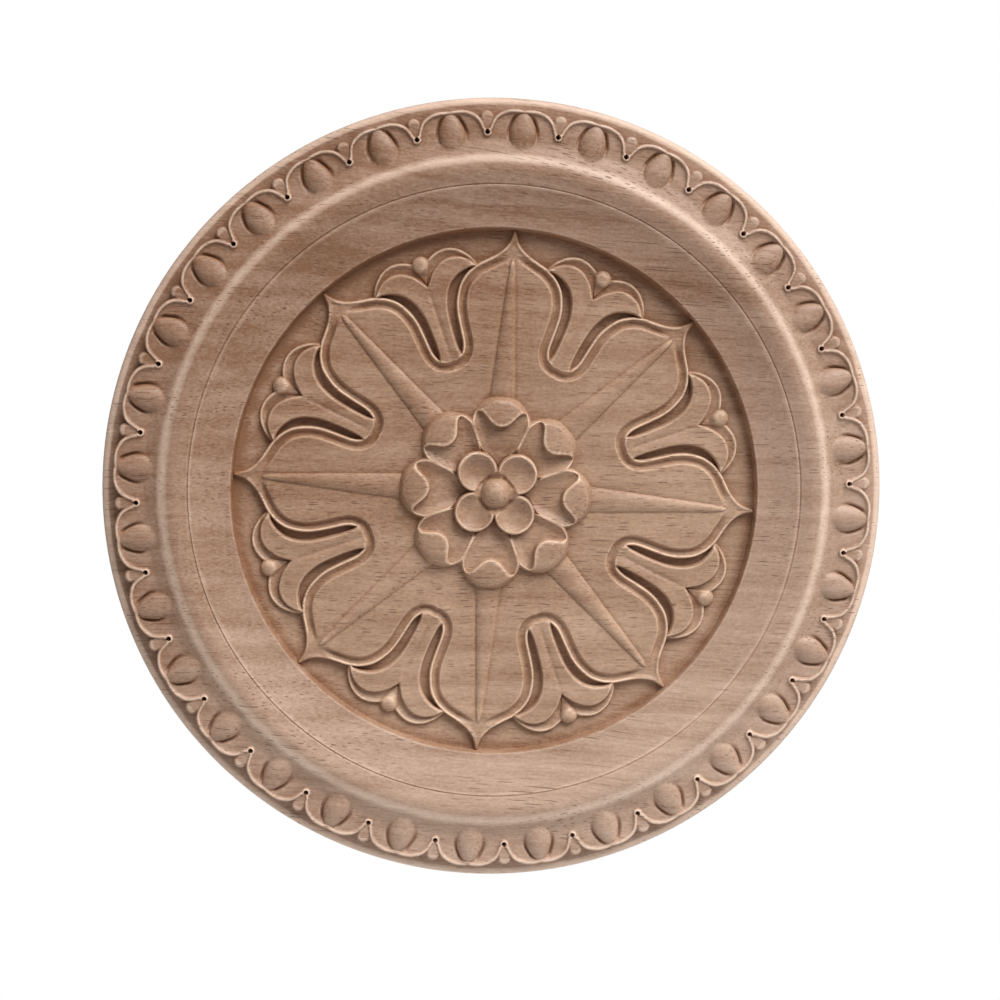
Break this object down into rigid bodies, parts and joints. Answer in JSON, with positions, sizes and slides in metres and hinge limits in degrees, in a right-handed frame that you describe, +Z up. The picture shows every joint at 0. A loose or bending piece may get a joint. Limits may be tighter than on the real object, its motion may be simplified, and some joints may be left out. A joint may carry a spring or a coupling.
{
  "type": "carved wood rosette",
  "caption": "Round carved wood rosette: an egg and dart ring around a recess of pointed leaves, lilies and a layered flower, flat at the back.",
  "frame": {"origin": "middle of the flat back", "axes": "the carving faces -Y, +Z is up and one leaf points along it, +X is to the right seen from in front, and +Y is out of the back"},
  "size_m": [0.3, 0.019, 0.3],
  "materials": {
    "wood": "bare sanded rubberwood, unpainted"
  },
  "bodies": {
    "root": {"rosette": "wood"}
  },
  "joints": []
}
